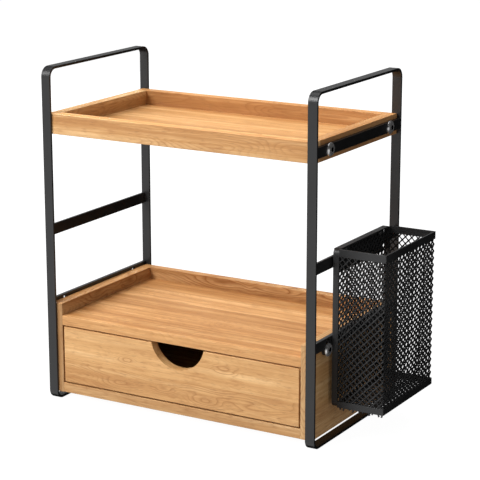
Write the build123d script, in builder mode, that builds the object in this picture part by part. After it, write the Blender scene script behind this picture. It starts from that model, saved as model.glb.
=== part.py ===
from build123d import *
import os

# Desk organizer: two loops of flat steel bar carry a shallow wooden tray at the top and a
# wooden box with a drawer at the bottom; an expanded-metal basket hangs on the right side.
# Millimetres. X runs left to right, Y front to back, Z up. The origin is the middle of the
# footprint, on the desk.

# ------------------------------------------------------------------ steel side frames
frame_width = 370.0         # outer edge to outer edge of the two loops
frame_depth = 215.0
frame_height = 413.0
bar_width = 12.0            # flat bar of the loops
bar_thick = 3.0
loop_top_radius = 12.5      # outer bend radii of a loop
loop_foot_radius = 11.0
bar_edge_round = 0.4
bolted_bar_width = 12.4     # upper and lower crossbars, flush with the loops' outer edges
bolted_bar_thick = 4.7
middle_bar_width = 13.5     # middle crossbars, where the basket can hang
middle_bar_thick = 3.0
middle_bar_recess = 1.7     # they sit this far inside the loops' outer edges
upper_bar_z = 345.5         # mid heights of the crossbars
middle_bar_z = 213.4
lower_bar_z = 121.4

# ------------------------------------------------------------------ bolts and inserts
bolt_y = 76.0               # bolts stand this far in front of and behind the middle
box_bolt_z = 113.4
bolt_diameter = 5.0
bolt_hole_diameter = 5.4
bolt_head_diameter = 15.8
bolt_head_height = 3.0
bolt_rim_height = 0.8       # upright rim below the head's rounded shoulder
bolt_crown_diameter = 9.0   # flat top of the head
bolt_shoulder_bulge = 0.5
hex_socket_flats = 5.5
hex_socket_depth = 2.2
insert_diameter = 8.0
insert_length = 11.0
slot_width = 8.5            # upright slots of the lower crossbars
slot_top_margin = 1.2       # metal left above them
ear_radius = 7.0            # round ears around the lower bolts

# ------------------------------------------------------------------ tray
tray_bottom = 333.0
tray_top = 357.4
tray_wall = 13.5
tray_floor_top = 339.3
tray_floor_thick = 5.0
tray_groove_depth = 4.0

# ------------------------------------------------------------------ box
box_bottom = 10.6
box_lip_top = 123.5
box_side_thick = 15.0
board_thick = 12.0
shelf_top = 108.4

# ------------------------------------------------------------------ drawer
reveal_side = 2.0           # gaps around the drawer front
reveal_top = 1.8
reveal_bottom = 1.9
drawer_run_gap = 0.4        # drawer sides above the bottom board
drawer_side_gap = 2.6       # drawer sides to the box sides
drawer_rear_gap = 4.0
drawer_wall = 10.0
drawer_wall_top = 86.0
drawer_bottom_z = 27.0
drawer_bottom_thick = 5.0
drawer_groove_depth = 5.0
cutout_radius = 37.4        # finger cutout: a circle centred above the front's top edge
cutout_rise = 8.8

# ------------------------------------------------------------------ wooden dowels
small_dowel = 6.0
large_dowel = 8.0
tray_dowel_ends = (-8.0, 10.0)      # reach into the long wall and into the side wall
drawer_front_dowel_ends = (-8.0, 14.0)
drawer_back_dowel_ends = (6.0, 14.0)
box_dowel_ends = (10.0, 18.0)       # reach into the side and into the board
box_dowel_ys = (-60.0, 0.0, 60.0)
box_back_dowel_zs = (40.0, 80.0)
drawer_dowel_zs = (45.0, 72.0)
wood_edge_round = 0.6

# ------------------------------------------------------------------ hanging basket
basket_left = 185.3         # plane of the basket's inner side
basket_right = 251.6
basket_half_depth = 66.5
basket_bottom = 42.1
basket_top = 229.9
strip_width = 7.4           # flat strip of the inner loop
strip_thick = 1.8
strip_radius = 6.0
rim_thick = 2.4             # hemmed strips round the three outer sides
top_rim_height = 8.8
bottom_rim_height = 7.7
rim_corner_radius = 1.2
strip_edge_round = 0.3
mesh_thick = 1.2
mesh_pitch_across = 8.9     # diamonds, corner to corner
mesh_pitch_up = 8.4
mesh_strand = 1.6
inner_mesh_x = 188.4
rivet_y = 44.5
rivet_z = 225.1
rivet_diameter = 3.0
rivet_head_diameter = 5.5
rivet_head_height = 1.0
hanger_thick = 1.2
hanger_bottom = 198.1
hanger_top = 229.3          # up against the top strip of the inner loop
hanger_half_width = 62.0
hook_half_width = 36.0
hook_clearance = 0.3        # under the fold, above the crossbar
hook_back_gap = 0.7         # lip to the crossbar's inner face
hook_lip_length = 12.2

# ------------------------------------------------------------------ worked out
half_width = frame_width / 2
half_depth = frame_depth / 2
wood_half_width = half_width - bolted_bar_thick
wood_half_depth = half_depth - bar_thick
box_inner_x = wood_half_width - box_side_thick
tray_inner_x = wood_half_width - tray_wall
tray_inner_y = wood_half_depth - tray_wall
board_rear_y = wood_half_depth - board_thick
cavity_bottom = box_bottom + board_thick
cavity_top = shelf_top - board_thick
drawer_front_half = box_inner_x - reveal_side
drawer_front_bottom = cavity_bottom + reveal_bottom
drawer_front_top = cavity_top - reveal_top
drawer_outer_x = box_inner_x - drawer_side_gap
drawer_inner_x = drawer_outer_x - drawer_wall
drawer_front_rear_y = -wood_half_depth + board_thick
drawer_rear_y = board_rear_y - drawer_rear_gap
drawer_base_z = cavity_bottom + drawer_run_gap
strip_right = basket_left + strip_width

os.makedirs("parts", exist_ok=True)


def save(builder, name):
    """Label the finished piece and write it as one STEP file."""
    builder.part.label = name
    export_step(builder.part, f"parts/{name}.step")


def side_plane(side, x, y, z):
    """A plane facing out of the given side (-1 left, +1 right) at a point on that side."""
    return Plane(origin=(side * x, y, z), x_dir=(0, side, 0), z_dir=(side, 0, 0))


def block(x_range, y_range, z_range, mode=Mode.ADD):
    """A rectangular block between pairs of X, Y and Z values."""
    centre = ((x_range[0] + x_range[1]) / 2, (y_range[0] + y_range[1]) / 2)
    with BuildSketch(Plane.XY.offset(z_range[0])) as outline:
        with Locations(centre):
            Rectangle(x_range[1] - x_range[0], y_range[1] - y_range[0])
    extrude(outline.sketch, amount=z_range[1] - z_range[0], mode=mode)


def rod(plane, diameter, start, end, mode=Mode.ADD):
    """A round rod or hole along a plane's normal, from start to end."""
    with BuildSketch(plane.offset(start)) as outline:
        Circle(diameter / 2)
    extrude(outline.sketch, amount=end - start, mode=mode)


# ------------------------------------------------------------------ side frames
def side_loop(side, name):
    """Closed loop of flat bar, bent the easy way, with its wide face along X."""
    near_x = min(side * half_width, side * (half_width - bar_width))
    with BuildPart() as loop:
        with BuildSketch(Plane.YZ.offset(near_x)) as outline:
            with Locations((0, frame_height / 2)):
                Rectangle(frame_depth, frame_height)
            fillet(outline.vertices().group_by(Axis.Y)[-1], loop_top_radius)
            fillet(outline.vertices().group_by(Axis.Y)[0], loop_foot_radius)
            offset(amount=-bar_thick, mode=Mode.SUBTRACT)
        extrude(amount=bar_width)
        flat_sides = loop.faces().filter_by(Axis.X)
        fillet(flat_sides.edges(), bar_edge_round)
    save(loop, name)


# each section: width, X of the outer face, thickness
bolted_bar = (bolted_bar_width, half_width, bolted_bar_thick)
middle_bar = (middle_bar_width, half_width - middle_bar_recess, middle_bar_thick)


def crossbar(side, name, z_mid, section, holes):
    """Flat bar between a loop's posts. holes is None, "round" or "slotted"."""
    width, outer_x, thick = section
    with BuildPart() as bar:
        with BuildSketch(side_plane(side, outer_x - thick, 0, 0)):
            with Locations((0, z_mid)):
                Rectangle(2 * wood_half_depth, width)
            if holes == "slotted":
                with Locations((-bolt_y, box_bolt_z), (bolt_y, box_bolt_z)):
                    Circle(ear_radius)
                slot_top = z_mid + width / 2 - slot_top_margin - slot_width / 2
                slot_mid = (slot_top + box_bolt_z) / 2
                with Locations((-bolt_y, slot_mid), (bolt_y, slot_mid)):
                    SlotCenterToCenter(slot_top - box_bolt_z, slot_width,
                                       rotation=90, mode=Mode.SUBTRACT)
            if holes == "round":
                with Locations((-bolt_y, z_mid), (bolt_y, z_mid)):
                    Circle(bolt_hole_diameter / 2, mode=Mode.SUBTRACT)
        extrude(amount=thick)
        long_edges = bar.edges().filter_by(Axis.Y)
        outer_long_edges = long_edges.group_by(Axis.X)[-1 if side > 0 else 0]
        fillet(outer_long_edges, bar_edge_round)
    save(bar, name)


# ------------------------------------------------------------------ bolts
bolt_places = [(side, y, z) for side in (-1, 1) for z in (upper_bar_z, box_bolt_z)
               for y in (-bolt_y, bolt_y)]


def bolt_head(seat):
    """A low round head with a flat top and a rounded shoulder, standing on the seat plane."""
    rim = (bolt_head_diameter / 2, bolt_rim_height)
    crown = (bolt_crown_diameter / 2, bolt_head_height)
    half_section = Plane(origin=seat.origin, x_dir=seat.x_dir, z_dir=-seat.y_dir)
    with BuildSketch(half_section) as outline:
        with BuildLine():
            Polyline((0, bolt_head_height), (0, 0), (rim[0], 0), rim)
            SagittaArc(rim, crown, -bolt_shoulder_bulge)
            Line(crown, (0, bolt_head_height))
        make_face()
    revolve(outline.sketch, axis=Axis(seat.origin, seat.z_dir))


def frame_bolts():
    """Eight low round-headed furniture bolts with hex sockets."""
    with BuildPart() as bolts:
        for side, y, z in bolt_places:
            seat = side_plane(side, half_width, y, z)
            bolt_head(seat)
            rod(seat, bolt_diameter, -bolted_bar_thick - insert_length, 0)
            with BuildSketch(seat.offset(bolt_head_height)):
                RegularPolygon(hex_socket_flats / 2, 6, major_radius=False)
            extrude(amount=-hex_socket_depth, mode=Mode.SUBTRACT)
    save(bolts, "frame_bolts")


def threaded_inserts():
    """Eight brass sleeves set in the wood, one for each bolt."""
    with BuildPart() as inserts:
        for side, y, z in bolt_places:
            face = side_plane(side, wood_half_width, y, z)
            rod(face, insert_diameter, -insert_length, 0)
            rod(face, bolt_diameter, -insert_length, 0, mode=Mode.SUBTRACT)
    save(inserts, "threaded_inserts")


def insert_holes(side, z):
    """Holes for the inserts, bored in the outer face of a side board."""
    for y in (-bolt_y, bolt_y):
        rod(side_plane(side, wood_half_width, y, z), insert_diameter, -insert_length, 0,
            mode=Mode.SUBTRACT)


# ------------------------------------------------------------------ tray
tray_z = (tray_bottom, tray_top)
tray_dowel_z = (tray_floor_top + tray_top) / 2


def tray_floor_block(mode=Mode.ADD):
    """The tray's floor panel, which is also the shape of the grooves that hold it."""
    reach_x = tray_inner_x + tray_groove_depth
    reach_y = tray_inner_y + tray_groove_depth
    block((-reach_x, reach_x), (-reach_y, reach_y),
          (tray_floor_top - tray_floor_thick, tray_floor_top), mode)


def tray_dowel_rods(mode=Mode.ADD):
    """One dowel at each corner, from the long wall into the side wall's end."""
    for end in (-1, 1):
        for side in (-1, 1):
            spot = (side * (tray_inner_x + tray_wall / 2), end * tray_inner_y, tray_dowel_z)
            plane = Plane(origin=spot, x_dir=(1, 0, 0), z_dir=(0, -end, 0))
            rod(plane, small_dowel, tray_dowel_ends[0], tray_dowel_ends[1], mode)


def tray_long_wall(end, name):
    """Front (-1) or back (+1) wall of the tray, over the tray's full width."""
    with BuildPart() as wall:
        block((-wood_half_width, wood_half_width),
              sorted((end * tray_inner_y, end * wood_half_depth)), tray_z)
        outer_face = wall.faces().sort_by(Axis.Y)[0 if end < 0 else -1]
        inner_top_edge = wall.faces().sort_by(Axis.Z)[-1].edges().sort_by(Axis.Y)
        fillet(outer_face.edges() + [inner_top_edge[-1 if end < 0 else 0]], wood_edge_round)
        tray_floor_block(Mode.SUBTRACT)
        tray_dowel_rods(Mode.SUBTRACT)
    save(wall, name)


def tray_side_wall(side, name):
    """Left (-1) or right (+1) wall of the tray, between the long walls."""
    with BuildPart() as wall:
        block(sorted((side * tray_inner_x, side * wood_half_width)),
              (-tray_inner_y, tray_inner_y), tray_z)
        fillet(wall.edges().filter_by(Axis.Y).group_by(Axis.Z)[-1], wood_edge_round)
        tray_floor_block(Mode.SUBTRACT)
        tray_dowel_rods(Mode.SUBTRACT)
        insert_holes(side, upper_bar_z)
    save(wall, name)


def tray_inner_pieces():
    """The floor panel and the corner dowels."""
    with BuildPart() as floor:
        tray_floor_block()
    save(floor, "tray_floor")
    with BuildPart() as dowels:
        tray_dowel_rods()
    save(dowels, "tray_dowels")


# ------------------------------------------------------------------ box
board_zs = ((box_bottom, cavity_bottom), (cavity_top, shelf_top))


def box_dowel_rods(mode=Mode.ADD):
    """Dowels from the box sides into the two boards' ends and the back panel's ends."""
    places = [(y, (low + high) / 2) for low, high in board_zs for y in box_dowel_ys]
    places += [(wood_half_depth - board_thick / 2, z) for z in box_back_dowel_zs]
    for side in (-1, 1):
        for y, z in places:
            rod(side_plane(side, box_inner_x, y, z), large_dowel,
                -box_dowel_ends[1], box_dowel_ends[0], mode)


def box_side(side, name):
    """Side board of the box. Its top stands proud of the shelf as a lip."""
    with BuildPart() as board:
        block(sorted((side * box_inner_x, side * wood_half_width)),
              (-wood_half_depth, wood_half_depth), (box_bottom, box_lip_top))
        fillet(board.faces().sort_by(Axis.Z)[-1].edges()
               + board.faces().sort_by(Axis.Y)[0].edges().filter_by(Axis.Z), wood_edge_round)
        box_dowel_rods(Mode.SUBTRACT)
        insert_holes(side, box_bolt_z)
    save(board, name)


def box_back():
    """Back panel of the box, between the sides and as high as their lips."""
    with BuildPart() as panel:
        block((-box_inner_x, box_inner_x), (board_rear_y, wood_half_depth),
              (box_bottom, box_lip_top))
        fillet(panel.edges().filter_by(Axis.X).group_by(Axis.Z)[-1], wood_edge_round)
        box_dowel_rods(Mode.SUBTRACT)
    save(panel, "box_back_panel")


def box_board(name, z_range):
    """Shelf board or bottom board, between the sides and in front of the back panel."""
    with BuildPart() as board:
        block((-box_inner_x, box_inner_x), (-wood_half_depth, board_rear_y), z_range)
        front_edges = board.edges().filter_by(Axis.X).group_by(Axis.Y)[0]
        fillet(front_edges, wood_edge_round)
        box_dowel_rods(Mode.SUBTRACT)
    save(board, name)


def box_dowels():
    """Sixteen dowels of the box."""
    with BuildPart() as dowels:
        box_dowel_rods()
    save(dowels, "box_dowels")


# ------------------------------------------------------------------ drawer
def drawer_bottom_block(mode=Mode.ADD):
    """The drawer's bottom panel, which is also the shape of the grooves that hold it."""
    reach_x = drawer_inner_x + drawer_groove_depth
    block((-reach_x, reach_x),
          (drawer_front_rear_y - drawer_groove_depth,
           drawer_rear_y - drawer_wall + drawer_groove_depth),
          (drawer_bottom_z, drawer_bottom_z + drawer_bottom_thick), mode)


def drawer_dowel_rods(mode=Mode.ADD):
    """Dowels from the front into the sides' ends, and from the sides into the back."""
    back_mid_y = drawer_rear_y - drawer_wall / 2
    for side in (-1, 1):
        for z in drawer_dowel_zs:
            spot = (side * (drawer_inner_x + drawer_wall / 2), drawer_front_rear_y, z)
            plane = Plane(origin=spot, x_dir=(1, 0, 0), z_dir=(0, 1, 0))
            rod(plane, small_dowel, drawer_front_dowel_ends[0], drawer_front_dowel_ends[1], mode)
            rod(side_plane(side, drawer_inner_x, back_mid_y, z), small_dowel,
                -drawer_back_dowel_ends[1], drawer_back_dowel_ends[0], mode)


def drawer_front():
    """Flush inset front with a half-round finger cutout in its top edge."""
    with BuildPart() as front:
        block((-drawer_front_half, drawer_front_half),
              (-wood_half_depth, drawer_front_rear_y),
              (drawer_front_bottom, drawer_front_top))
        fillet(front.faces().sort_by(Axis.Y)[0].edges(), wood_edge_round)
        through = Plane(origin=(0, 0, drawer_front_top + cutout_rise), z_dir=(0, -1, 0))
        rod(through, 2 * cutout_radius, 0, half_depth, mode=Mode.SUBTRACT)
        drawer_bottom_block(Mode.SUBTRACT)
        drawer_dowel_rods(Mode.SUBTRACT)
    save(front, "drawer_front")


def drawer_side(side, name):
    """Side of the drawer, from the front to the drawer's rear end."""
    with BuildPart() as wall:
        block(sorted((side * drawer_inner_x, side * drawer_outer_x)),
              (drawer_front_rear_y, drawer_rear_y), (drawer_base_z, drawer_wall_top))
        fillet(wall.edges().filter_by(Axis.Y).group_by(Axis.Z)[-1], wood_edge_round)
        drawer_bottom_block(Mode.SUBTRACT)
        drawer_dowel_rods(Mode.SUBTRACT)
    save(wall, name)


def drawer_back():
    """Back of the drawer, between its sides."""
    with BuildPart() as wall:
        block((-drawer_inner_x, drawer_inner_x),
              (drawer_rear_y - drawer_wall, drawer_rear_y), (drawer_base_z, drawer_wall_top))
        fillet(wall.edges().filter_by(Axis.X).group_by(Axis.Z)[-1], wood_edge_round)
        drawer_bottom_block(Mode.SUBTRACT)
        drawer_dowel_rods(Mode.SUBTRACT)
    save(wall, "drawer_back")


def drawer_inner_pieces():
    """The drawer's bottom panel and its dowels."""
    with BuildPart() as panel:
        drawer_bottom_block()
    save(panel, "drawer_bottom")
    with BuildPart() as dowels:
        drawer_dowel_rods()
    save(dowels, "drawer_dowels")


# ------------------------------------------------------------------ basket
def basket_inner_loop():
    """Flat strip bent into a closed loop round the basket's inner side."""
    height = basket_top - basket_bottom
    with BuildPart() as loop:
        with BuildSketch(Plane.YZ.offset(basket_left)):
            with Locations((0, basket_bottom + height / 2)):
                RectangleRounded(2 * basket_half_depth, height, strip_radius)
            offset(amount=-strip_thick, mode=Mode.SUBTRACT)
        extrude(amount=strip_width)
        fillet(loop.faces().sort_by(Axis.X)[0].edges(), strip_edge_round)
    save(loop, "basket_inner_loop")


def basket_rim(name, z_low, height):
    """Three-sided rim strip, butted against the inner loop's front and rear bars."""
    with BuildPart() as rim:
        block((strip_right, basket_right), (-basket_half_depth, basket_half_depth),
              (z_low, z_low + height))
        outer_corners = rim.edges().filter_by(Axis.Z).group_by(Axis.X)[-1]
        fillet(outer_corners, rim_corner_radius)
        inner_y = basket_half_depth - rim_thick
        block((strip_right, basket_right - rim_thick), (-inner_y, inner_y),
              (z_low, z_low + height), Mode.SUBTRACT)
        fillet(rim.faces().sort_by(Axis.Z)[-1].edges().filter_by(
            lambda e: e.center().X > strip_right + strip_edge_round), strip_edge_round)
        fillet(rim.faces().sort_by(Axis.Z)[0].edges().filter_by(
            lambda e: e.center().X > strip_right + strip_edge_round), strip_edge_round)
    save(rim, name)


def diamond_centres(width, height, shift=(0.0, 0.0)):
    """Centres of the whole diamonds that fit a sheet of this size, in staggered rows."""
    across = mesh_pitch_across / 2
    up = mesh_pitch_up / 2
    columns = int(width / across) + 2
    rows = int(height / up) + 2
    centres = []
    for i in range(-columns, columns + 1):
        for j in range(-rows, rows + 1):
            u = i * across + shift[0]
            v = j * up + shift[1]
            fits = abs(u) + across < width / 2 and abs(v) + up < height / 2
            if (i + j) % 2 == 0 and fits:
                centres.append((u, v))
    return centres


def mesh_sheet(name, plane, width, height, corner=0.0, shift=(0.0, 0.0), rivets=()):
    """A sheet of expanded metal: a thin plate with rows of diamond openings."""
    half_across = (mesh_pitch_across - mesh_strand * 2 ** 0.5) / 2
    half_up = (mesh_pitch_up - mesh_strand * 2 ** 0.5) / 2
    # The openings are wires of one face: cutting them one by one takes minutes.
    holes = [Wire.make_polygon([(u + half_across, v), (u, v + half_up),
                                (u - half_across, v), (u, v - half_up)], close=True)
             for u, v in diamond_centres(width, height, shift)]
    corners = [(-width / 2, -height / 2), (width / 2, -height / 2),
               (width / 2, height / 2), (-width / 2, height / 2)]
    plate = Face(Wire.make_polygon(corners, close=True), holes)
    with BuildPart() as sheet:
        with BuildSketch(plane) as outline:
            add(plate)
            for spot in rivets:
                with Locations(spot):
                    Circle(rivet_diameter / 2, mode=Mode.SUBTRACT)
            if corner > 0:
                fillet(outline.vertices().filter_by(
                    lambda v: abs(abs(v.X) - width / 2) < 0.01
                    and abs(abs(v.Y) - height / 2) < 0.01), corner)
        extrude(amount=mesh_thick)
    save(sheet, name)


def basket_mesh():
    """The five sheets of the basket: inner side, front, right, rear and bottom."""
    inner_half_depth = basket_half_depth - strip_thick
    inner_height = basket_top - basket_bottom - 2 * strip_thick
    inner_mid_z = (basket_top + basket_bottom) / 2
    mesh_sheet("basket_mesh_inner",
               Plane(origin=(inner_mesh_x, 0, inner_mid_z), x_dir=(0, 1, 0), z_dir=(1, 0, 0)),
               2 * inner_half_depth, inner_height, corner=strip_radius - strip_thick,
               shift=(0.0, rivet_z - inner_mid_z),
               rivets=[(y, rivet_z - inner_mid_z) for y in (-rivet_y, rivet_y)])
    low = basket_bottom + bottom_rim_height
    high = basket_top - top_rim_height
    mid_z = (low + high) / 2
    skin = (rim_thick - mesh_thick) / 2
    outer_x = basket_right - skin
    outer_y = basket_half_depth - skin
    mid_x = (strip_right + outer_x - mesh_thick) / 2
    short_width = outer_x - mesh_thick - strip_right
    mesh_sheet("basket_mesh_front",
               Plane(origin=(mid_x, -outer_y + mesh_thick, mid_z), x_dir=(1, 0, 0), z_dir=(0, -1, 0)),
               short_width, high - low)
    mesh_sheet("basket_mesh_rear",
               Plane(origin=(mid_x, outer_y - mesh_thick, mid_z), x_dir=(-1, 0, 0), z_dir=(0, 1, 0)),
               short_width, high - low)
    mesh_sheet("basket_mesh_right",
               Plane(origin=(outer_x - mesh_thick, 0, mid_z), x_dir=(0, 1, 0), z_dir=(1, 0, 0)),
               2 * outer_y, high - low)
    inner_right = basket_right - rim_thick
    mesh_sheet("basket_mesh_bottom",
               Plane(origin=((strip_right + inner_right) / 2, 0, basket_bottom + strip_thick),
                     x_dir=(1, 0, 0), z_dir=(0, 0, 1)),
               inner_right - strip_right, 2 * (basket_half_depth - rim_thick))


def basket_hanger():
    """Plate behind the top of the inner mesh, with a hook that folds over the crossbar."""
    fold_under = middle_bar_z + middle_bar_width / 2 + hook_clearance
    fold_top = fold_under + hanger_thick
    lip_x = wood_half_width - hook_back_gap
    with BuildPart() as hanger:
        block((basket_left - hanger_thick, basket_left), (-hanger_half_width, hanger_half_width),
              (hanger_bottom, hanger_top))
        hook_y = (-hook_half_width, hook_half_width)
        block((lip_x - hanger_thick, basket_left), hook_y, (fold_under, fold_top))
        block((lip_x - hanger_thick, lip_x), hook_y, (fold_top - hook_lip_length, fold_top))
        for y in (-rivet_y, rivet_y):
            rod(side_plane(1, basket_left, y, rivet_z), rivet_diameter, -hanger_thick, 0,
                mode=Mode.SUBTRACT)
    save(hanger, "basket_hanger_plate")


def basket_rivets():
    """Two rivets that join the hanger plate to the inner mesh."""
    tail_x = basket_left - hanger_thick
    head_x = inner_mesh_x + mesh_thick
    with BuildPart() as rivets:
        for y in (-rivet_y, rivet_y):
            axis = side_plane(1, 0, y, rivet_z)
            rod(axis, rivet_head_diameter, tail_x - rivet_head_height, tail_x)
            rod(axis, rivet_diameter, tail_x, head_x)
            rod(axis, rivet_head_diameter, head_x, head_x + rivet_head_height)
    save(rivets, "basket_rivets")


for side, word in ((-1, "left"), (1, "right")):
    side_loop(side, f"{word}_frame_loop")
    crossbar(side, f"{word}_upper_crossbar", upper_bar_z, bolted_bar, "round")
    crossbar(side, f"{word}_middle_crossbar", middle_bar_z, middle_bar, None)
    crossbar(side, f"{word}_lower_crossbar", lower_bar_z, bolted_bar, "slotted")
    tray_side_wall(side, f"tray_{word}_wall")
    box_side(side, f"box_{word}_side")
    drawer_side(side, f"drawer_{word}_side")
frame_bolts()
threaded_inserts()
tray_long_wall(-1, "tray_front_wall")
tray_long_wall(1, "tray_back_wall")
tray_inner_pieces()
box_back()
box_board("box_bottom_board", board_zs[0])
box_board("box_shelf_board", board_zs[1])
box_dowels()
drawer_front()
drawer_back()
drawer_inner_pieces()
basket_inner_loop()
basket_rim("basket_top_rim", basket_top - top_rim_height, top_rim_height)
basket_rim("basket_bottom_rim", basket_bottom, bottom_rim_height)
basket_mesh()
basket_hanger()
basket_rivets()
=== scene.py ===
import bmesh
import bpy
import math
from mathutils import Matrix, Vector


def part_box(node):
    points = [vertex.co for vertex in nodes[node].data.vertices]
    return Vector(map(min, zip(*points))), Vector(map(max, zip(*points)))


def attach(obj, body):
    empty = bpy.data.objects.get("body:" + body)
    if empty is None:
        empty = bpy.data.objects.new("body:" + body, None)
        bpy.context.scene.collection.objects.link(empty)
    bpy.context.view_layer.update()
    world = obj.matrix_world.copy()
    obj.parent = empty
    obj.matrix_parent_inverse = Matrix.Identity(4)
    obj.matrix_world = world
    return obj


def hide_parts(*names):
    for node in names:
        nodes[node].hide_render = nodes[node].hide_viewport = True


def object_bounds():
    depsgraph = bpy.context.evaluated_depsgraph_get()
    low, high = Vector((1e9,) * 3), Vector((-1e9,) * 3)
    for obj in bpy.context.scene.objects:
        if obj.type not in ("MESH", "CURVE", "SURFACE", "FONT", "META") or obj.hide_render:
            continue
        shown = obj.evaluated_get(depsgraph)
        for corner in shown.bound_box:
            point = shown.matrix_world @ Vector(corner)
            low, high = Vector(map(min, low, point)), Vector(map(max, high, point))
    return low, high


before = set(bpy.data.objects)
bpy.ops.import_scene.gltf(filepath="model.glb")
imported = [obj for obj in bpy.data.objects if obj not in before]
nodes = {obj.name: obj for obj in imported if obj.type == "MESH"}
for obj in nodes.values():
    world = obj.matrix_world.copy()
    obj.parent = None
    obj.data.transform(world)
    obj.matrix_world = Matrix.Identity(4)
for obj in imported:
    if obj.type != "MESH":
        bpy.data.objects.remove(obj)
cad_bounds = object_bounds()

MM = 0.001


# ------------------------------------------------------------------ shader helpers
class Graph:
    """A material's node tree, with short calls for the nodes used here."""

    def __init__(self, name):
        self.material = bpy.data.materials.new(name)
        self.material.use_nodes = True
        self.tree = self.material.node_tree
        self.tree.nodes.clear()
        self.out = self.tree.nodes.new("ShaderNodeOutputMaterial")
        self.shader = self.tree.nodes.new("ShaderNodeBsdfPrincipled")
        self.tree.links.new(self.shader.outputs["BSDF"], self.out.inputs["Surface"])

    def node(self, kind, **settings):
        made = self.tree.nodes.new(kind)
        for key, value in settings.items():
            setattr(made, key, value)
        return made

    def put(self, socket, value):
        """Links value to a socket, or sets the socket to it when it is a number or tuple."""
        if isinstance(value, bpy.types.NodeSocket):
            self.tree.links.new(value, socket)
        else:
            socket.default_value = value

    def math(self, operation, a, b=0.0):
        made = self.node("ShaderNodeMath", operation=operation)
        self.put(made.inputs[0], a)
        self.put(made.inputs[1], b)
        return made.outputs[0]

    def place(self, vector, location=(0, 0, 0), rotation=(0, 0, 0), scale=(1, 1, 1)):
        made = self.node("ShaderNodeMapping")
        self.put(made.inputs["Vector"], vector)
        made.inputs["Location"].default_value = location
        made.inputs["Rotation"].default_value = rotation
        made.inputs["Scale"].default_value = scale
        return made.outputs[0]

    def noise(self, vector, scale, detail=2.0, roughness=0.5):
        made = self.node("ShaderNodeTexNoise")
        self.put(made.inputs["Vector"], vector)
        made.inputs["Scale"].default_value = scale
        made.inputs["Detail"].default_value = detail
        made.inputs["Roughness"].default_value = roughness
        return made.outputs[0]

    def spread(self, value, low, high, to_low=0.0, to_high=1.0):
        made = self.node("ShaderNodeMapRange")
        self.put(made.inputs["Value"], value)
        made.inputs["From Min"].default_value = low
        made.inputs["From Max"].default_value = high
        made.inputs["To Min"].default_value = to_low
        made.inputs["To Max"].default_value = to_high
        return made.outputs[0]

    def mix(self, fac, a, b, blend="MIX"):
        made = self.node("ShaderNodeMix", data_type="RGBA", blend_type=blend)
        self.put(made.inputs[0], fac)
        self.put(made.inputs[6], a)
        self.put(made.inputs[7], b)
        return made.outputs[2]

    def ramp(self, value, stops, steps=False):
        made = self.node("ShaderNodeValToRGB")
        made.color_ramp.interpolation = "CONSTANT" if steps else "LINEAR"
        self.put(made.inputs[0], value)
        points = made.color_ramp.elements
        while len(points) < len(stops):
            points.new(0.5)
        for point, (position, colour) in zip(points, stops):
            point.position = position
            point.color = colour
        return made.outputs[0]

    def bump(self, height, distance, strength):
        made = self.node("ShaderNodeBump")
        made.inputs["Strength"].default_value = strength
        made.inputs["Distance"].default_value = distance
        self.put(made.inputs["Height"], height)
        return made.outputs[0]


def rgb(red, green, blue):
    return (red, green, blue, 1.0)


# ------------------------------------------------------------------ wood
GRAIN_TURN = {                      # rotations that bring the grain to the texture's X axis
    "X": (0, 0, 0),
    "Y": (0, 0, -math.pi / 2),
    "Z": (0, math.pi / 2, 0),
}
SWIRL = 24.0                        # how many rings the slow noise spans
RINGS_PER_METRE = 150.0             # growth rings over a board's face
RING_WOBBLE = 1.1
EYE_HOLD = 0.75                     # how far an eye pushes the board's own rings aside
PORE_BROWN = (0.20, 0.09, 0.03, 1.0)
STRIP_TINT = (0.8, 1.1, 1.5)        # powers per channel: darker strips are a little redder


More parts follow.
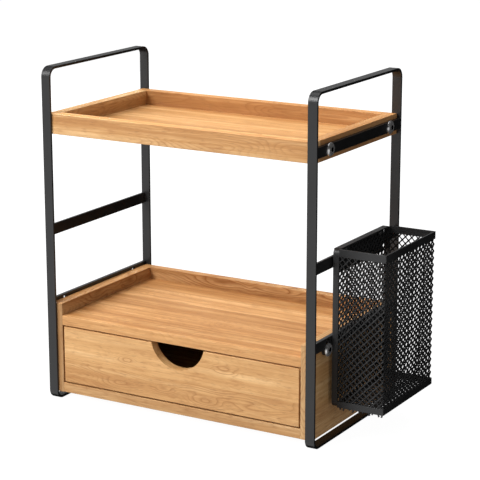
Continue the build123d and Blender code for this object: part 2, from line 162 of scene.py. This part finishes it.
def oak(node, grain, across, seed, tone=1.0, figure=1.0, warm=1.0, edge_grain=None,
        boards=(), eyes=(), streaky=1.0, painted_top_highlight=1.0):
    """Light oak for one board. grain and across are the axes along and over its face.

    boards are glued-up strips: (where a strip starts over the face, how light it is, how
    much its growth rings show).
    eyes are knots of growth rings: (place along, place over, length, breadth, rings).
    The top-highlight argument is a painted highlight: how much lighter the faces that look upwards
    are made than the board's other faces, standing in for the light they catch from above. streaky
    is the contrast of the long streaks. Places are shares of the face, lengths are metres.
    """
    g = Graph("oak_" + node)
    coords = g.node("ShaderNodeTexCoord")
    place = coords.outputs["Object"]
    low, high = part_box(node)
    along_axis, across_axis = "XYZ".index(grain), "XYZ".index(across)
    spot = g.node("ShaderNodeSeparateXYZ")
    g.put(spot.inputs[0], place)
    along = spot.outputs[along_axis]
    over = spot.outputs[across_axis]
    turned = g.place(place, rotation=GRAIN_TURN[grain])
    facing = g.node("ShaderNodeSeparateXYZ")
    g.put(facing.inputs[0], coords.outputs["Normal"])
    if edge_grain:
        # Banded edges: where the normal runs along the grain, the band has its own grain.
        band = g.place(place, rotation=GRAIN_TURN[edge_grain], location=(0, 0.31, 0.17))
        at_end = g.math("ABSOLUTE", facing.outputs[along_axis])
        at_end = g.math("GREATER_THAN", at_end, 0.8)
        turned = g.mix(at_end, turned, band)
    if boards:
        share = g.spread(over, low[across_axis], high[across_axis])
        stops = [(start, rgb(light, rings, 0.0)) for start, light, rings in boards]
        strip = g.node("ShaderNodeSeparateColor")
        g.put(strip.inputs[0], g.ramp(share, stops, steps=True))
        board, rings_show = strip.outputs[0], strip.outputs[1]
        # Each strip is cut from another place, so its grain doesn't run on in the next.
        shift = g.node("ShaderNodeCombineXYZ")
        g.put(shift.inputs[0], g.math("MULTIPLY", board, 7.31))
        g.put(shift.inputs[1], g.math("MULTIPLY", board, 3.17))
        g.put(shift.inputs[2], g.math("MULTIPLY", board, 5.03))
        moved = g.node("ShaderNodeVectorMath", operation="ADD")
        g.put(moved.inputs[0], turned)
        g.put(moved.inputs[1], shift.outputs[0])
        turned = moved.outputs[0]
    v = g.place(turned, location=(1.37 * seed, 0.193 * seed, 0.271 * seed))

    # Growth rings: contour lines of a field that is stretched along the grain.
    field = g.noise(g.place(v, scale=(6.5, 42, 42)), 1.0, 1.0, 0.4)
    rough = g.noise(g.place(v, scale=(16, 150, 150)), 1.0, 2.0, 0.5)
    field = g.math("MULTIPLY", g.math("SUBTRACT", field, 0.5), SWIRL)
    eye_rings, near_eye = 0.0, 0.0
    for place_along, place_over, length, breadth, rings in eyes:
        middle_along = low[along_axis] + (high[along_axis] - low[along_axis]) * place_along
        middle_over = low[across_axis] + (high[across_axis] - low[across_axis]) * place_over
        far = g.math("POWER", g.math("DIVIDE", g.math("SUBTRACT", along, middle_along), length), 2)
        wide = g.math("POWER", g.math("DIVIDE", g.math("SUBTRACT", over, middle_over), breadth), 2)
        rise = g.math("DIVIDE", 1.0, g.math("ADD", 1.0, g.math("ADD", far, wide)))
        eye_rings = g.math("ADD", eye_rings, g.math("MULTIPLY", rise, rings))
        near_eye = g.math("MAXIMUM", near_eye, g.spread(rise, 0.22, 0.60))
    if eyes:
        # Near an eye its own rings prevail.
        held = g.math("MULTIPLY", near_eye, EYE_HOLD)
        field = g.math("MULTIPLY", field, g.math("SUBTRACT", 1.0, held))
        field = g.math("ADD", field, eye_rings)
    wobble = g.math("MULTIPLY", g.math("SUBTRACT", rough, 0.5), RING_WOBBLE)
    field = g.math("ADD", field, wobble)
    field = g.math("ADD", field, g.math("MULTIPLY", over, RINGS_PER_METRE))
    late = g.math("FRACT", field)
    line = g.ramp(late, [(0.0, rgb(0.25, 0.25, 0.25)), (0.16, rgb(0.0, 0.0, 0.0)),
                         (0.50, rgb(0.06, 0.06, 0.06)), (0.80, rgb(0.55, 0.55, 0.55)),
                         (0.93, rgb(1.0, 1.0, 1.0)), (1.0, rgb(0.25, 0.25, 0.25))])
    patch = g.noise(g.place(v, scale=(5.0, 24, 24)), 1.0, 2.0)
    patch = g.spread(patch, 0.38, 0.60, 0.12, 1.0)
    if boards:
        patch = g.math("MULTIPLY", patch, rings_show)
    if eyes:
        patch = g.math("MAXIMUM", patch, near_eye)
    flame = g.math("MULTIPLY", line, patch)

    # Long streaks, fine fibres and pores.
    streak = g.noise(g.place(v, scale=(1.9, 74, 74)), 1.0, 5.0, 0.68)
    broad = g.noise(g.place(v, scale=(1.3, 21, 21)), 1.0, 2.0, 0.5)
    fibre = g.noise(g.place(v, scale=(11, 430, 430)), 1.0, 3.0, 0.65)
    fleck = g.noise(g.place(v, scale=(40, 210, 210)), 1.0, 3.0, 0.65)
    fleck = g.spread(fleck, 0.55, 0.70)
    mottle = g.noise(g.place(v, scale=(16, 60, 60)), 1.0, 3.0, 0.6)
    pores = g.noise(g.place(v, scale=(80, 1300, 1300)), 1.0, 1.0)
    pores = g.spread(pores, 0.62, 0.72)

    def shade(red, green, blue):
        return rgb(red * tone, green * tone * (1 + warm) / 2, blue * tone * warm)

    deep = shade(0.357, 0.152, 0.045)
    dark = shade(0.479, 0.233, 0.077)
    middle = shade(0.626, 0.348, 0.137)
    light = shade(0.766, 0.487, 0.228)
    reach = 0.14 / streaky
    colour = g.ramp(g.spread(streak, 0.5 - reach, 0.5 + reach),
                    [(0.0, dark), (0.5, middle), (1.0, light)])
    colour = g.mix(g.spread(broad, 0.42, 0.66, 0.0, 0.32 * streaky), colour, dark)
    colour = g.mix(g.spread(mottle, 0.45, 0.66, 0.0, 0.50), colour, dark)
    colour = g.mix(g.math("MULTIPLY", flame, 0.80 * figure), colour, deep)
    colour = g.mix(g.spread(fibre, 0.42, 0.70, 0.0, 0.34), colour, deep)
    colour = g.mix(g.math("MULTIPLY", fleck, 0.48), colour, deep)
    colour = g.mix(g.math("MULTIPLY", pores, 0.35), colour, PORE_BROWN)
    if boards:
        tint = g.node("ShaderNodeCombineColor")
        for channel, power in enumerate(STRIP_TINT):
            g.put(tint.inputs[channel], g.math("POWER", board, power))
        colour = g.mix(1.0, colour, tint.outputs[0], "MULTIPLY")
    # Painted highlight: faces that look upwards are made lighter, as if they caught more light
    # from above.
    if painted_top_highlight != 1.0:
        upward_highlight_mask = g.spread(facing.outputs[2], 0.35, 0.75)
        colour = g.mix(upward_highlight_mask, colour, rgb(painted_top_highlight, painted_top_highlight, painted_top_highlight), "MULTIPLY")
    g.put(g.shader.inputs["Base Color"], colour)
    g.put(g.shader.inputs["Roughness"], g.spread(fibre, 0.3, 0.7, 0.44, 0.60))
    g.shader.inputs["Specular IOR Level"].default_value = 0.35
    relief = g.math("SUBTRACT", g.math("MULTIPLY", fibre, 0.5), pores)
    relief = g.math("SUBTRACT", relief, g.math("MULTIPLY", flame, 0.25))
    g.put(g.shader.inputs["Normal"], g.bump(relief, 0.00012, 0.55))
    return g.material


# ------------------------------------------------------------------ metals
BOLT_HEAD_RADIUS = 7.9 * MM         # as in the CAD model
SOCKET_REACH = 3.4 * MM             # just round the corners of a hex socket
SOCKET_EDGE = 0.2 * MM              # the flat top of the head lies within this of its box
# Colour of the painted shade in the bolts' hex sockets.
SOCKET_SHADE_BLACK = (0.012, 0.012, 0.012, 1.0)


def powder_coat(name, grey, rough, seed=0.0, gloss=0.5):
    """Satin black powder coat with a faint orange-peel texture and lighter specks."""
    g = Graph(name)
    coords = g.node("ShaderNodeTexCoord")
    v = g.place(coords.outputs["Object"], location=(seed, 0.3 * seed, 0.7 * seed))
    peel = g.noise(v, 900.0, 2.0, 0.55)
    cloud = g.noise(v, 22.0, 3.0, 0.6)
    speck = g.noise(v, 2600.0, 1.0)
    shade = g.mix(g.spread(cloud, 0.3, 0.7), rgb(grey * 0.85, grey * 0.85, grey * 0.87),
                  rgb(grey * 1.2, grey * 1.2, grey * 1.24))
    shade = g.mix(g.spread(speck, 0.64, 0.74, 0.0, 0.35), shade,
                  rgb(grey * 2.6, grey * 2.6, grey * 2.7))
    g.put(g.shader.inputs["Base Color"], shade)
    g.put(g.shader.inputs["Roughness"], g.spread(cloud, 0.3, 0.7, rough - 0.05, rough + 0.06))
    g.shader.inputs["Specular IOR Level"].default_value = gloss
    g.put(g.shader.inputs["Normal"], g.bump(peel, 0.00010, 0.35))
    return g.material


def hex_sockets(g, place):
    """1 inside the bolts' hex sockets and 0 elsewhere, found from the bolts' own box: the mask of
    their painted shade.
    """
    low, high = [Vector(corner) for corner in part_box("frame_bolts")]
    spot = g.node("ShaderNodeSeparateXYZ")
    g.put(spot.inputs[0], place)
    y_off = g.math("SUBTRACT", g.math("ABSOLUTE", spot.outputs[1]), high.y - BOLT_HEAD_RADIUS)
    z_off = g.math("ABSOLUTE", g.math("SUBTRACT", spot.outputs[2], (low.z + high.z) / 2))
    z_off = g.math("SUBTRACT", z_off, (high.z - low.z) / 2 - BOLT_HEAD_RADIUS)
    radius = g.math("SQRT", g.math("ADD", g.math("MULTIPLY", y_off, y_off),
                                   g.math("MULTIPLY", z_off, z_off)))
    sunk = g.math("LESS_THAN", g.math("ABSOLUTE", spot.outputs[0]), high.x - SOCKET_EDGE)
    return g.math("MULTIPLY", g.math("LESS_THAN", radius, SOCKET_REACH), sunk)


def plated_steel(name, colour, rough, metallic=1.0, seed=0.0, painted_shade=None):
    """Bright plated metal, slightly uneven and stained, and painted black as shade in its
    recesses.

    The shade argument is a function of the graph and the place that returns the share of painted
    shade.
    """
    g = Graph(name)
    coords = g.node("ShaderNodeTexCoord")
    v = g.place(coords.outputs["Object"], location=(seed, 0.4 * seed, 0.2 * seed))
    cloud = g.noise(v, 260.0, 3.0, 0.6)
    fine = g.noise(v, 1500.0, 2.0)
    shade = g.mix(g.spread(cloud, 0.35, 0.75), rgb(*colour),
                  rgb(colour[0] * 0.55, colour[1] * 0.55, colour[2] * 0.56))
    # Painted shade: recesses are coloured black instead of being left to their own shadow.
    if painted_shade:
        share = painted_shade(g, coords.outputs["Object"])
        shade = g.mix(share, shade, SOCKET_SHADE_BLACK)
    g.put(g.shader.inputs["Base Color"], shade)
    g.shader.inputs["Metallic"].default_value = metallic
    g.put(g.shader.inputs["Roughness"], g.spread(cloud, 0.3, 0.7, rough - 0.06, rough + 0.1))
    g.put(g.shader.inputs["Normal"], g.bump(fine, 0.00003, 0.25))
    return g.material


def end_wood(name):
    """Plain turned beech of the dowels."""
    g = Graph(name)
    coords = g.node("ShaderNodeTexCoord")
    v = coords.outputs["Object"]
    fleck = g.noise(g.place(v, scale=(220, 220, 220)), 1.0, 3.0)
    shade = g.mix(g.spread(fleck, 0.3, 0.7), rgb(0.72, 0.50, 0.29), rgb(0.56, 0.35, 0.18))
    g.put(g.shader.inputs["Base Color"], shade)
    g.put(g.shader.inputs["Roughness"], g.spread(fleck, 0.3, 0.7, 0.5, 0.65))
    return g.material


frame_black = powder_coat("frame_powder_coat", 0.012, 0.37, gloss=0.46)
rim_black = powder_coat("basket_powder_coat", 0.016, 0.46, seed=1.3, gloss=0.47)
mesh_black = powder_coat("mesh_powder_coat", 0.022, 0.50, seed=2.1, gloss=0.28)
# The bolts' hex sockets get painted shade, found from their place on the head.
bolt_steel = plated_steel("bolt_steel", (0.72, 0.71, 0.70), 0.28, metallic=0.8,
                          painted_shade=hex_sockets)
rivet_steel = plated_steel("rivet_steel", (0.30, 0.30, 0.30), 0.40, metallic=0.8, seed=0.5)
insert_brass = plated_steel("insert_brass", (0.75, 0.56, 0.26), 0.30, seed=0.8)
dowel_wood = end_wood("dowel_beech")

# Glued-up strips of the wide boards, from front to back or from the bottom up. Their
# lightness stays at or below 1, and the board's tone is set against it.
FLOOR_STRIPS = ((0.0, 0.80, 1.0), (0.10, 0.94, 1.0), (0.21, 0.83, 1.0), (0.33, 0.98, 1.0),
                (0.44, 0.84, 1.0), (0.55, 1.0, 1.0), (0.70, 0.90, 1.0), (0.82, 0.97, 1.0))
SHELF_STRIPS = ((0.0, 0.98, 1.0), (0.03, 0.80, 1.0), (0.22, 0.96, 1.0), (0.41, 0.82, 1.0),
                (0.60, 0.99, 1.0), (0.79, 0.92, 1.0))
FRONT_STRIPS = ((0.0, 0.88, 1.0), (0.40, 1.0, 0.25), (0.72, 0.95, 0.35))
FRONT_EYES = ((0.24, 0.16, 0.024, 0.0065, 3.4), (0.44, 0.19, 0.016, 0.0060, 3.2),
              (0.62, 0.13, 0.024, 0.0080, 4.2), (0.70, 0.74, 0.018, 0.0060, 3.0),
              (0.28, 0.60, 0.012, 0.0050, 2.0))
LIP_EYES = ((0.30, 0.93, 0.050, 0.0100, 5.0), (0.58, 0.945, 0.042, 0.0095, 4.6),
            (0.84, 0.95, 0.036, 0.0095, 4.4))
SIDE_EYES = ((0.35, 0.93, 0.030, 0.0095, 3.4), (0.72, 0.94, 0.024, 0.0090, 3.2))

# node: grain axis, axis over the face, seed, tone, figure, warmth, edge band, strips, eyes,
# streakiness, painted highlight on the faces that look upwards
WOOD = {
    "tray_front_wall": ("X", "Z", 1.0, 1.11, 1.2, 0.98, None, (), (), 1.8, 1.38),
    "tray_back_wall": ("X", "Z", 2.0, 0.83, 1.0, 0.86, None, (), (), 1.4, 1.50),
    "tray_left_wall": ("Y", "Z", 3.0, 0.98, 0.8, 1.06, None, (), (), 1.2, 1.25),
    "tray_right_wall": ("Y", "Z", 4.0, 0.86, 0.9, 0.90, None, (), (), 1.2, 1.38),
    "tray_floor": ("X", "Y", 5.0, 1.28, 0.3, 0.96, None, FLOOR_STRIPS, (), 0.9),
    "box_left_side": ("Y", "Z", 6.0, 0.76, 1.3, 0.92, "Z", (), SIDE_EYES, 1.2, 1.30),
    "box_right_side": ("Y", "Z", 7.0, 1.06, 0.8, 1.12, "Z", (), (), 1.3, 1.10),
    "box_back_panel": ("X", "Z", 8.0, 0.82, 1.4, 0.86, None, (), LIP_EYES, 1.0, 1.25),
    "box_bottom_board": ("X", "Y", 9.0, 0.98, 0.9, 0.98),
    "box_shelf_board": ("X", "Y", 10.0, 1.27, 0.5, 0.96, None, SHELF_STRIPS, (), 1.1),
    "drawer_front": ("X", "Z", 11.0, 1.27, 1.1, 1.08, None, FRONT_STRIPS, FRONT_EYES, 0.8),
    "drawer_left_side": ("Y", "Z", 12.0, 1.0, 0.5, 1.2),
    "drawer_right_side": ("Y", "Z", 13.0, 1.0, 0.5, 1.2),
    "drawer_back": ("X", "Z", 14.0, 1.1, 0.5, 1.5),
    "drawer_bottom": ("X", "Y", 15.0, 1.1, 0.3, 1.5),
}


def paint(node, material):
    """Gives a CAD node one material in all its slots."""
    for slot in nodes[node].material_slots:
        slot.material = material


for node, settings in WOOD.items():
    paint(node, oak(node, *settings))
for node in nodes:
    if node.endswith("_frame_loop") or node.endswith("_crossbar"):
        paint(node, frame_black)
    elif node.startswith("basket_") and node != "basket_rivets":
        paint(node, rim_black)
    elif node.endswith("_dowels"):
        paint(node, dowel_wood)
paint("frame_bolts", bolt_steel)
paint("basket_rivets", rivet_steel)
paint("threaded_inserts", insert_brass)


# ------------------------------------------------------------------ expanded-metal mesh
STRAND_WIDTH = 1.8 * MM
STRAND_THICK = 1.0 * MM
WALL_TILT = math.radians(-30)
BOTTOM_TILT = math.radians(38)
CORNER_POWER = 0.55                 # below 1, the strand's section gets squarish
SECTION = 8                         # corners of the section
STATIONS = (0.0, 0.16, 0.5, 0.84, 1.0)       # shares of the strand's length
KNUCKLE = (1.42, 1.12, 0.96, 1.12, 1.42)     # its width there, wider at the bonds


def add_strand(bm, start, end, normal, tilt):
    """One strand from bond to bond: a flat bar with rounded edges, turned about its length."""
    line = end - start
    along = line.normalized()
    side = normal.cross(along).normalized()
    turn = Matrix.Rotation(tilt, 3, along)
    wide, thin = turn @ side, turn @ normal
    rings = []
    for station, swell in zip(STATIONS, KNUCKLE):
        middle = start + line * station
        ring = []
        for k in range(SECTION):
            angle = 2 * math.pi * (k + 0.5) / SECTION
            a, b = math.cos(angle), math.sin(angle)
            a = math.copysign(abs(a) ** CORNER_POWER, a) * STRAND_WIDTH * swell / 2
            b = math.copysign(abs(b) ** CORNER_POWER, b) * STRAND_THICK / 2
            ring.append(bm.verts.new(middle + wide * a + thin * b))
        rings.append(ring)
    for first, second in zip(rings, rings[1:]):
        for k in range(SECTION):
            n = (k + 1) % SECTION
            bm.faces.new((first[k], first[n], second[n], second[k]))
    bm.faces.new(list(reversed(rings[0])))
    bm.faces.new(rings[-1])


def basket_piece(name, bm):
    """Turns finished strands into one smooth piece that moves with the basket."""
    mesh = bpy.data.meshes.new(name)
    bm.to_mesh(mesh)
    bm.free()
    for face in mesh.polygons:
        face.use_smooth = True
    mesh.materials.append(mesh_black)
    made = bpy.data.objects.new(name, mesh)
    bpy.context.collection.objects.link(made)
    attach(made, "basket")
    return made


def mesh_panel(name, origin, across, up, cells_across, cells_up, size, tilt=WALL_TILT):
    """Expanded metal from origin over size = (width, height) along the axes across and up.

    Bonds lie on the panel's edges.
    """
    normal = across.cross(up)
    step = (size[0] / (2 * cells_across), size[1] / (2 * cells_up))
    bm = bmesh.new()
    for i in range(2 * cells_across):
        for j in range(2 * cells_up):
            rising = (i + j) % 2 == 0
            low, high = (j, j + 1) if rising else (j + 1, j)
            start = origin + across * (i * step[0]) + up * (low * step[1])
            end = origin + across * ((i + 1) * step[0]) + up * (high * step[1])
            add_strand(bm, start, end, normal, tilt if rising else -tilt)
    return basket_piece(name, bm)


X, Y, Z = Vector((1, 0, 0)), Vector((0, 1, 0)), Vector((0, 0, 1))
lo, hi = {}, {}
for node in nodes:
    lo[node], hi[node] = [Vector(corner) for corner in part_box(node)]

right_lo, right_hi = lo["basket_mesh_right"], hi["basket_mesh_right"]
front_lo, front_hi = lo["basket_mesh_front"], hi["basket_mesh_front"]
rear_lo, rear_hi = lo["basket_mesh_rear"], hi["basket_mesh_rear"]
inner_lo, inner_hi = lo["basket_mesh_inner"], hi["basket_mesh_inner"]
bottom_lo, bottom_hi = lo["basket_mesh_bottom"], hi["basket_mesh_bottom"]
TUCK = 1.5 * MM                     # strands run this far in behind the rims
SET_IN = 0.6 * MM                   # the right sheet's middle lies this far inwards
CELLS_UP = 21                       # openings up a wall, over its depth and over its width
CELLS_DEEP = 15
CELLS_WIDE = 7
corner_x = (right_lo.x + right_hi.x) / 2 - SET_IN
front_y = (front_lo.y + front_hi.y) / 2
rear_y = (rear_lo.y + rear_hi.y) / 2
wall_low = right_lo.z - TUCK
wall_size = right_hi.z - right_lo.z + 2 * TUCK
span_y = rear_y - front_y
left_x = front_lo.x
span_x = corner_x - left_x

mesh_right = mesh_panel("expanded_mesh_right", Vector((corner_x, front_y, wall_low)),
                        Y, Z, CELLS_DEEP, CELLS_UP, (span_y, wall_size))
mesh_front = mesh_panel("expanded_mesh_front", Vector((left_x, front_y, wall_low)),
                        X, Z, CELLS_WIDE, CELLS_UP, (span_x, wall_size))
mesh_rear = mesh_panel("expanded_mesh_rear", Vector((corner_x, rear_y, wall_low)),
                       -X, Z, CELLS_WIDE, CELLS_UP, (span_x, wall_size))
inner_x = (inner_lo.x + inner_hi.x) / 2
mesh_inner = mesh_panel("expanded_mesh_inner", Vector((inner_x, inner_lo.y, inner_lo.z)),
                        Y, Z, CELLS_DEEP, CELLS_UP + 1,
                        (inner_hi.y - inner_lo.y, inner_hi.z - inner_lo.z))
bottom_z = (bottom_lo.z + bottom_hi.z) / 2
mesh_bottom = mesh_panel("expanded_mesh_bottom", Vector((bottom_lo.x, bottom_lo.y, bottom_z)),
                         Y, X, CELLS_DEEP, CELLS_WIDE - 1,
                         (bottom_hi.y - bottom_lo.y, bottom_hi.x - bottom_lo.x), BOTTOM_TILT)


def cut_ends(name, start, along, count, pitch, normal):
    """Short ends of cut strands that stick out below the bottom rim, leaning both ways."""
    bm = bmesh.new()
    for i in range(count):
        root = start + along * (i * pitch) + Z * (1.2 * MM)
        lean = 0.45 if i % 2 == 0 else -0.35
        reach = (3.4 + 0.9 * math.sin(2.4 * i)) * MM
        tip = root - Z * reach + along * (lean * reach)
        add_strand(bm, root, tip, normal, WALL_TILT)
    return basket_piece(name, bm)


rim_lo = lo["basket_bottom_rim"]
END_PITCH = 6.1 * MM
END_COUNT = 10
first_end = Vector((rim_lo.x + 2.6 * MM, front_y, rim_lo.z))
cut_ends("cut_ends_front", first_end, X, END_COUNT, END_PITCH, Y)
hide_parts("basket_mesh_right")
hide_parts("basket_mesh_front")
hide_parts("basket_mesh_rear")
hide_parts("basket_mesh_inner")
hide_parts("basket_mesh_bottom")


# ------------------------------------------------------------------ floor, light, camera
def floor_material():
    """White paper that mostly glows by itself, so that shadows on it stay faint."""
    g = Graph("studio_floor")
    coords = g.node("ShaderNodeTexCoord")
    mottle = g.noise(coords.outputs["Object"], 3.0, 3.0)
    shade = g.mix(g.spread(mottle, 0.3, 0.7), rgb(0.09, 0.09, 0.09), rgb(0.11, 0.11, 0.11))
    g.put(g.shader.inputs["Base Color"], shade)
    g.shader.inputs["Roughness"].default_value = 0.9
    g.shader.inputs["Specular IOR Level"].default_value = 0.0
    g.shader.inputs["Emission Color"].default_value = rgb(1.0, 1.0, 1.0)
    g.shader.inputs["Emission Strength"].default_value = 0.97
    return g.material


FLOOR_REACH = 30.0                  # metres from the middle to the floor's edges
floor_paper = floor_material()


def floor_part(name, y_near, y_far, mirrored):
    """A strip of the floor. Only a mirrored strip shows in the object's reflections."""
    mesh = bpy.data.meshes.new(name)
    corners = [(-FLOOR_REACH, y_near, 0), (FLOOR_REACH, y_near, 0),
               (FLOOR_REACH, y_far, 0), (-FLOOR_REACH, y_far, 0)]
    mesh.from_pydata(corners, [], [(0, 1, 2, 3)])
    mesh.materials.append(floor_paper)
    part = bpy.data.objects.new(name, mesh)
    bpy.context.collection.objects.link(part)
    part.visible_glossy = mirrored
    part.visible_diffuse = False


FLOOR_SPLIT = cad_bounds[0][1]          # the object's front
floor_part("studio_floor_front", -FLOOR_REACH, FLOOR_SPLIT, True)
floor_part("studio_floor_rear", FLOOR_SPLIT, FLOOR_REACH, False)


def area_light(name, location, target, size, power):
    """A rectangular softbox of size metres that faces target."""
    data = bpy.data.lights.new(name, "AREA")
    data.shape = "RECTANGLE"
    data.size, data.size_y = size
    data.energy = power
    light = bpy.data.objects.new(name, data)
    light.location = location
    aim = Vector(target) - Vector(location)
    light.rotation_euler = aim.to_track_quat("-Z", "Y").to_euler()
    bpy.context.collection.objects.link(light)
    return light


area_light("key_softbox", (-1.14, -2.14, 1.91), (0, 0, 0.15), (1.5, 1.5), 90.0)
area_light("top_softbox", (-0.2, 0.2, 2.6), (0, 0, 0.2), (2.2, 2.2), 27.6)
area_light("rear_softbox", (-1.25, 2.17, 0.95), (0, 0, 0.2), (1.8, 1.2), 3.5)
low_fill = area_light("low_fill", (-1.75, 1.45, 0.95), (0, 0, 0.2), (2.0, 0.9), 70.0)
low_fill.visible_glossy = False         # lights the wood without showing in the black bars

WORLD_STRENGTH = 0.39
world = bpy.data.worlds.new("studio")
bpy.context.scene.world = world
world.use_nodes = True
background = world.node_tree.nodes["Background"]
background.inputs["Color"].default_value = (1.0, 1.0, 1.0, 1.0)
background.inputs["Strength"].default_value = WORLD_STRENGTH
world.cycles_visibility.glossy = False

CAMERA_PLACE = (1.08844, -1.82034, 0.73968)
CAMERA_DOWN = 14.425                # degrees below the horizon
CAMERA_ROUND = 30.166               # degrees round from the front towards the basket
camera_data = bpy.data.cameras.new("camera")
camera = bpy.data.objects.new("camera", camera_data)
bpy.context.collection.objects.link(camera)
camera.location = CAMERA_PLACE
camera.rotation_euler = (math.radians(90 - CAMERA_DOWN), 0, math.radians(CAMERA_ROUND))
camera_data.sensor_width = 36.0
camera_data.lens = 135.5
camera_data.shift_x = -0.0084
camera_data.shift_y = 0.0126
camera_data.clip_end = 100.0
bpy.context.scene.camera = camera
bpy.context.scene.view_settings.view_transform = "Standard"
